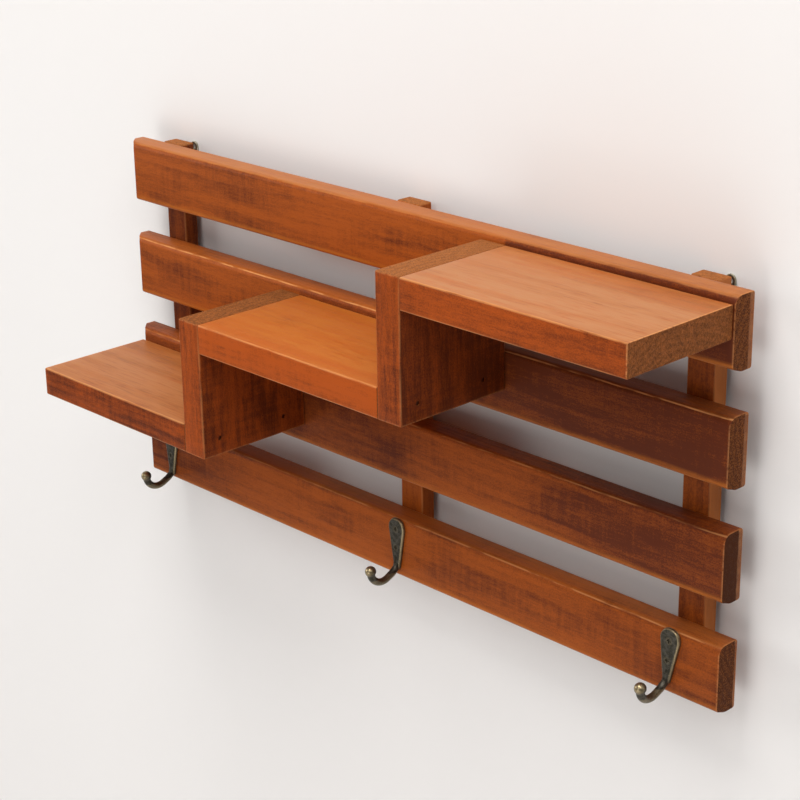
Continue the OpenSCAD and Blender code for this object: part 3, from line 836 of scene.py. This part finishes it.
def cast_hook_mesh(sizes):
    """Plate, arm and ball grown into one casting, with soft hollows where they meet."""
    work = bmesh.new()
    for part in (plate_mesh(sizes), arm_mesh(sizes), ball_mesh(sizes)):
        work.from_mesh(part)
        bpy.data.meshes.remove(part)
    mesh = bpy.data.meshes.new("cast_hook")
    work.to_mesh(mesh)
    work.free()
    casting = object_from(mesh, "casting", [])
    skin = casting.modifiers.new("One skin", "REMESH")
    skin.mode = "VOXEL"
    skin.voxel_size = 0.26 * MM
    soften = casting.modifiers.new("Soften", "SMOOTH")
    soften.factor = 0.5
    soften.iterations = 6
    settle(casting)
    final = casting.data
    bpy.data.objects.remove(casting)
    return final


def rub_highlight_attribute(sizes, mesh):
    """Marks where a hook is worn bright and where highlights are painted on it: the plate's rim, worn and with a
    painted highlight that is strongest at its top and on its right, the ball, with a painted highlight where it looks
    up and to the front, and the arm below the plate a little, as wear."""
    rim_inset, rim_width = 0.5 * MM, 0.9 * MM
    rim_rub, foot_highlight, left_highlight, right_highlight, ball_highlight, arm_rub = 0.9, 0.45, 0.75, 1.15, 0.95, 0.28
    ball_highlight_way = Vector((0.0, -0.8, 0.6))
    rub_highlight = mesh.attributes.new("rub_highlight", "FLOAT", "POINT")
    centre = ball_centre(sizes)
    values = []
    for vertex in mesh.vertices:
        x, y, z = vertex.co
        drop = max(0.0, -z)
        value = 0.0
        if y > -sizes.plate_thickness * 1.05 and drop < sizes.plate_height:
            inside = min(plate_half_width(sizes, drop) - abs(x), drop)
            value = max(0.0, 1.0 - abs(inside - rim_inset) / rim_width) * rim_rub
            # Painted highlight: the rim is brightest at its top and on its right side
            value *= foot_highlight + (1.0 - foot_highlight) * (1.0 - drop / sizes.plate_height)
            value *= min(right_highlight, left_highlight + 0.5 * max(0.0, x / sizes.plate_top))
        # Painted highlight on the ball where it looks up and to the front
        from_ball = vertex.co - centre
        if from_ball.length < sizes.ball_radius * 1.25:
            value = max(value, ball_highlight * from_ball.normalized().dot(ball_highlight_way))
        elif drop > sizes.plate_height:
            value = max(value, arm_rub)
        values.append(value)
    rub_highlight.data.foreach_set("value", values)


# How the wood of each board looks, in the words of wood()
# Tones, fades and right sides below are fitted to how bright each part stands, so they paint shade and light along
# with each board's own tone: painted shade under the shelves and behind the slats
LOOKS = {
    "slat_top": dict(
        pith=(70.0, -22.0), shift=0.0, tone=0.2, dark_end=0.1, sheen_top=0.5, warm_top=0.75, ridge_wear_and_highlight=0.2,
        corner=("shelf_high", 0.8), strip=4.2,
        shading_fades=((-200.0, -60.0, -0.16), (85.0, 110.0, 0.35), (255.0, 262.0, 0.2))),
    "slat_upper": dict(
        pith=(64.0, 30.0), shift=400.0, tone=0.1, dark_end=0.16, sheen_top=0.1, warm_top=0.25, ridge_wear_and_highlight=0.8,
        corner=("shelf_middle", 0.5), strip=4.2,
        shading_fades=((-20.0, 60.0, 0.85),)),
    "slat_lower": dict(
        pith=(-75.0, 14.0), shift=800.0, tone=0.2, dark_end=0.75, ridge_wear_and_highlight=0.45,
        corner=("shelf_low", 0.4), strip=4.2,
        shading_fades=((-130.0, -110.0, 0.45), (-10.0, 30.0, -0.45), (60.0, 200.0, 0.66))),
    "slat_bottom": dict(
        pith=(58.0, 36.0), shift=1200.0, tone=0.6, dark_end=0.3, sheen_top=0.15, warm_top=0.28, ridge_wear_and_highlight=0.5,
        strip=2.5,
        shading_fades=((-250.0, -120.0, -0.55), (30.0, 110.0, 0.16), (150.0, 240.0, 0.22))),
    "batten_left": dict(pith=(40.0, 25.0), shift=1700.0, tone=0.7),
    "batten_middle": dict(pith=(40.0, 5.0), shift=2000.0, tone=-0.15),
    "batten_right": dict(pith=(40.0, -15.0), shift=2300.0, tone=0.5, right_shade=-0.9, right_light=0.3),
    "shelf_low": dict(pith=(10.0, -60.0), shift=3000.0, tone=0.5, sheen_top=0.8, buried=(0.0, 9.0)),
    "shelf_middle": dict(pith=(-20.0, -75.0), shift=3400.0, tone=-0.25, sheen_top=0.12, buried=(9.0, 9.0)),
    "shelf_high": dict(pith=(6.0, -52.0), shift=3800.0, tone=0.15, pale_end=0.3, sheen_top=1.0, buried=(9.0, 0.0),
                       shading_fades=((160.0, 250.0, 0.3),)),
    "riser_low": dict(pith=(15.0, 62.0), shift=5000.0, pale_end=0.35, right_shade=0.14),
    "riser_high": dict(pith=(-15.0, 62.0), shift=5300.0, pale_end=0.65, right_shade=0.45),
}


def build_boards(sizes, names, slot, group, grain, outline, seed, spacing=10 * MM, stair=False, **look):
    """Builds and finishes like boards. seed is for their sanding, spacing how close their outlines follow each
    other, stair for boards that the stair's nails go into, and look what all their finishes share."""
    kind = slot.replace("_", " ").capitalize()
    for n, name in enumerate(names):
        low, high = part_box(name)
        finish = wood(f"{kind} {name}", group, name, grain, **look, **LOOKS[name])
        mesh = board_mesh("board_" + name, low, high, grain, outline, spacing, sizes.end_ease, sizes.unevenness,
                          seed + 3.0 * n)
        piece = object_from(mesh, "board_" + name, [finish])
        holes = holes_in(sizes, low, high)
        if stair:
            holes += stair_holes_in(sizes, low, high)
        drill(piece, holes)
        smooth(piece)
        place_piece(piece, name)


# Operators, one for each group of like pieces

class RackOperator:
    """Shared by the rack's operators."""
    bl_options = {"REGISTER", "UNDO"}

    def settings(self, context):
        return context.scene.wall_rack_sizes, context.scene.wall_rack_colours

    def grain(self, name, stain, colours):
        return bpy.data.node_groups.get(name) or grain_group(name, stain, colours)

    def wall_wood(self, colours):
        return self.grain("Wall wood", colours.stain, colours)

    def stair_wood(self, colours):
        return self.grain("Stair wood", colours.stair_stain, colours)


class WALLRACK_OT_slats(RackOperator, bpy.types.Operator):
    """Builds the four slats, bevelled along their lower front edges"""
    bl_idname = "wall_rack.slats"
    bl_label = "Build the slats"

    def execute(self, context):
        sizes, colours = self.settings(context)
        build_boards(sizes, SLATS, "slat_wood", self.wall_wood(colours), "X", slat_outline(sizes), seed=0.0,
                     spacing=3 * MM, slat_edges=(sizes.slat_top_round / MM, sizes.slat_foot_rise / MM))
        return {"FINISHED"}


class WALLRACK_OT_battens(RackOperator, bpy.types.Operator):
    """Builds the three battens behind the slats"""
    bl_idname = "wall_rack.battens"
    bl_label = "Build the battens"

    def execute(self, context):
        sizes, colours = self.settings(context)
        build_boards(sizes, BATTENS, "batten_wood", self.wall_wood(colours), "Z", plain_outline(sizes.board_round),
                     seed=20.0, pale_end=0.8)
        return {"FINISHED"}


class WALLRACK_OT_shelves(RackOperator, bpy.types.Operator):
    """Builds the three level boards of the stair"""
    bl_idname = "wall_rack.shelves"
    bl_label = "Build the shelves"

    def execute(self, context):
        sizes, colours = self.settings(context)
        # The shelves' tops get painted warm light and painted sheen, with less of the sheen by the wall
        build_boards(sizes, SHELVES, "shelf_wood", self.stair_wood(colours), "X", plain_outline(sizes.board_round),
                     seed=40.0, stair=True, warm_top=0.9, worn_edges=0.7, pale_by_wall=0.5)
        return {"FINISHED"}


class WALLRACK_OT_risers(RackOperator, bpy.types.Operator):
    """Builds the two upright boards of the stair, with their sunk nail holes"""
    bl_idname = "wall_rack.risers"
    bl_label = "Build the risers"

    def execute(self, context):
        sizes, colours = self.settings(context)
        build_boards(sizes, RISERS, "riser_wood", self.stair_wood(colours), "Z", plain_outline(sizes.board_round),
                     seed=60.0, stair=True, tone=0.38, worn_edges=0.32)
        return {"FINISHED"}


class WALLRACK_OT_hooks(RackOperator, bpy.types.Operator):
    """Builds the three cast hooks with their domed plates and balls, and finishes their screws"""
    bl_idname = "wall_rack.hooks"
    bl_label = "Build the hooks"

    def execute(self, context):
        sizes, colours = self.settings(context)
        bronze = cast_bronze("Aged bronze", colours, handled=0.0)
        mesh = cast_hook_mesh(sizes)
        for name in HOOKS:
            low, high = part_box(name)
            place = self.hook_place(sizes, low, high)
            own = mesh.copy()
            own.transform(place)
            piece = object_from(own, "cast_" + name, [bronze])
            drill(piece, holes_in(sizes, low, high))
            piece.data.transform(place.inverted())
            # Wear and painted highlights on the hook
            rub_highlight_attribute(sizes, piece.data)
            piece.data.transform(place)
            smooth(piece, angle=50.0)
            place_piece(piece, name)
        bpy.data.meshes.remove(mesh)
        dress_node("hook_screws", cast_bronze("Aged bronze screw", colours, handled=0.12), ease=0.2 * MM)
        return {"FINISHED"}

    def hook_place(self, sizes, low, high):
        """Where a hook's plate has its top and how far the hook leans, both told by its two screws."""
        middles = [(a + b) / 2 for a, b in solid_boxes("hook_screws") if low.x < (a.x + b.x) / 2 < high.x]
        lower, upper = sorted(middles, key=lambda middle: middle.z)
        lean = atan2(upper.x - lower.x, upper.z - lower.z)
        turn = Matrix.Rotation(lean, 4, "Y")
        on_slat = Vector((upper.x, high.y, upper.z))
        return Matrix.Translation(on_slat) @ turn @ Matrix.Translation((0, 0, sizes.screw_drop))


class WALLRACK_OT_fasteners(RackOperator, bpy.types.Operator):
    """Finishes the hangers and the nails and screws that hold the rack together"""
    bl_idname = "wall_rack.fasteners"
    bl_label = "Finish the hangers and fasteners"

    def execute(self, context):
        steel_colour = tuple(context.scene.wall_rack_colours.steel)
        # The hangers' pale second colour is a painted highlight, streaked over their dark metal
        stamped = plain_metal("Stamped hanger steel", *HANGER_METAL_AND_HIGHLIGHT, streaks=0.4)
        steel = plain_metal("Nail and screw steel", steel_colour, STEEL_STAIN, streaks=1.0)
        for name in ("hanger_left", "hanger_right"):
            dress_node(name, stamped, ease=0.25 * MM)
        for name in ("hanger_screws", "batten_nails", "shelf_screws"):
            dress_node(name, steel)
        dress_node("stair_nails", plain_metal("Sunk nail steel", *SUNK_METAL, streaks=1.0))
        return {"FINISHED"}


class WALLRACK_OT_stage(RackOperator, bpy.types.Operator):
    """Sets the backdrop, the floor, the lamps and the camera"""
    bl_idname = "wall_rack.stage"
    bl_label = "Set the stage"

    def execute(self, context):
        colour = context.scene.wall_rack_colours.wall
        upright, level = self.corners(FLOOR_HEIGHT, STAGE_TOP), self.corners(-STAGE_REACH, STAGE_REACH)
        self.sheet("backdrop", self.backdrop_paint(colour), [(x, BACKDROP_GAP, z) for x, z in upright])
        self.sheet("floor", self.floor_paint(colour), [(x, y, FLOOR_HEIGHT) for x, y in level])
        for lamp in LAMPS:
            self.softbox(*lamp)
        self.world(context.scene)
        self.camera(context.scene)
        context.scene.view_settings.view_transform = "Standard"
        return {"FINISHED"}

    def corners(self, low, high):
        return [(-STAGE_REACH, low), (STAGE_REACH, low), (STAGE_REACH, high), (-STAGE_REACH, high)]

    def sheet(self, name, material, corners):
        mesh = bpy.data.meshes.new(name)
        mesh.from_pydata(corners, [], [(0, 1, 2, 3)])
        made = object_from(mesh, name, [material])

    def backdrop_paint(self, colour):
        """Plain pale paint that shows from its front only, so that the rack's back can be looked at."""
        material, tree = new_material("Backdrop")
        paint = node(tree, "ShaderNodeBsdfDiffuse", {"Color": colour})
        clear = node(tree, "ShaderNodeBsdfTransparent")
        behind = node(tree, "ShaderNodeNewGeometry").outputs["Backfacing"]
        shown = node(tree, "ShaderNodeMixShader", {0: behind, 1: paint.outputs[0], 2: clear.outputs[0]})
        finish_material(tree, shown)
        return material

    def floor_paint(self, colour):
        material, tree = new_material("Floor")
        finish_material(tree, node(tree, "ShaderNodeBsdfDiffuse", {"Color": colour}))
        return material

    def softbox(self, name, way, watts, colour):
        """A square lamp that stands this way from the rack's middle and shines at it."""
        aim = Vector(LAMP_AIM)
        data = bpy.data.lights.new(name, "AREA")
        data.shape = "SQUARE"
        data.size = LAMP_SIDE
        data.energy = watts
        data.color = colour
        lamp = bpy.data.objects.new(name, data)
        lamp.location = aim + Vector(way).normalized() * LAMP_DISTANCE
        lamp.rotation_euler = (aim - lamp.location).to_track_quat("-Z", "Y").to_euler()
        bpy.context.scene.collection.objects.link(lamp)

    def world(self, scene):
        """Dim light from all around, and a pale ground for what the camera sees past the backdrop."""
        scene.world = bpy.data.worlds.new("Studio")
        scene.world.use_nodes = True
        tree = scene.world.node_tree
        tree.nodes.clear()
        soft = node(tree, "ShaderNodeBackground", {"Color": ROOM_LIGHT, "Strength": ROOM_STRENGTH})
        pale = node(tree, "ShaderNodeBackground", {"Color": ROOM_SEEN, "Strength": 1.0})
        seen = node(tree, "ShaderNodeLightPath").outputs["Is Camera Ray"]
        mixed = node(tree, "ShaderNodeMixShader", {0: seen, 1: soft.outputs[0], 2: pale.outputs[0]})
        node(tree, "ShaderNodeOutputWorld", {"Surface": mixed.outputs[0]})

    def camera(self, scene):
        """The camera stands to the right of the rack and above it, and is turned a little about its own axis."""
        azimuth, elevation, roll = map(radians, CAMERA_TURN)
        ahead = Vector((-sin(azimuth) * cos(elevation), cos(azimuth) * cos(elevation),
                        -sin(elevation)))
        right = ahead.cross(Vector((0, 0, 1))).normalized()
        down = ahead.cross(right)
        turned_right = cos(roll) * right - sin(roll) * down
        turned_down = sin(roll) * right + cos(roll) * down
        data = bpy.data.cameras.new("Camera")
        data.lens = CAMERA_LENS
        data.sensor_width = CAMERA_SENSOR
        camera = bpy.data.objects.new("Camera", data)
        turn = Matrix((turned_right, -turned_down, -ahead)).transposed().to_4x4()
        camera.matrix_world = Matrix.Translation(CAMERA_PLACE) @ turn
        scene.collection.objects.link(camera)
        scene.camera = camera


class WALLRACK_PT_panel(bpy.types.Panel):
    """Lists the rack's operators, sizes and colours"""
    bl_idname = "WALLRACK_PT_panel"
    bl_label = "Wall rack"
    bl_space_type = "VIEW_3D"
    bl_region_type = "UI"
    bl_category = "Wall rack"

    def draw(self, context):
        column = self.layout.column(align=True)
        for operator in OPERATORS:
            column.operator(operator.bl_idname)
        for group in (context.scene.wall_rack_sizes, context.scene.wall_rack_colours):
            box = self.layout.box()
            for name in group.__annotations__:
                box.prop(group, name)


OPERATORS = (WALLRACK_OT_slats, WALLRACK_OT_battens, WALLRACK_OT_shelves, WALLRACK_OT_risers,
             WALLRACK_OT_hooks, WALLRACK_OT_fasteners, WALLRACK_OT_stage)
CLASSES = (WallRackSizes, WallRackColours, *OPERATORS, WALLRACK_PT_panel)


def register():
    for part in CLASSES:
        bpy.utils.register_class(part)
    bpy.types.Scene.wall_rack_sizes = PointerProperty(type=WallRackSizes)
    bpy.types.Scene.wall_rack_colours = PointerProperty(type=WallRackColours)


def unregister():
    del bpy.types.Scene.wall_rack_colours
    del bpy.types.Scene.wall_rack_sizes
    for part in reversed(CLASSES):
        bpy.utils.unregister_class(part)


def main():
    register()
    bpy.ops.wall_rack.slats()
    bpy.ops.wall_rack.battens()
    bpy.ops.wall_rack.shelves()
    bpy.ops.wall_rack.risers()
    bpy.ops.wall_rack.hooks()
    bpy.ops.wall_rack.fasteners()
    bpy.ops.wall_rack.stage()


if __name__ == "__main__":
    main()
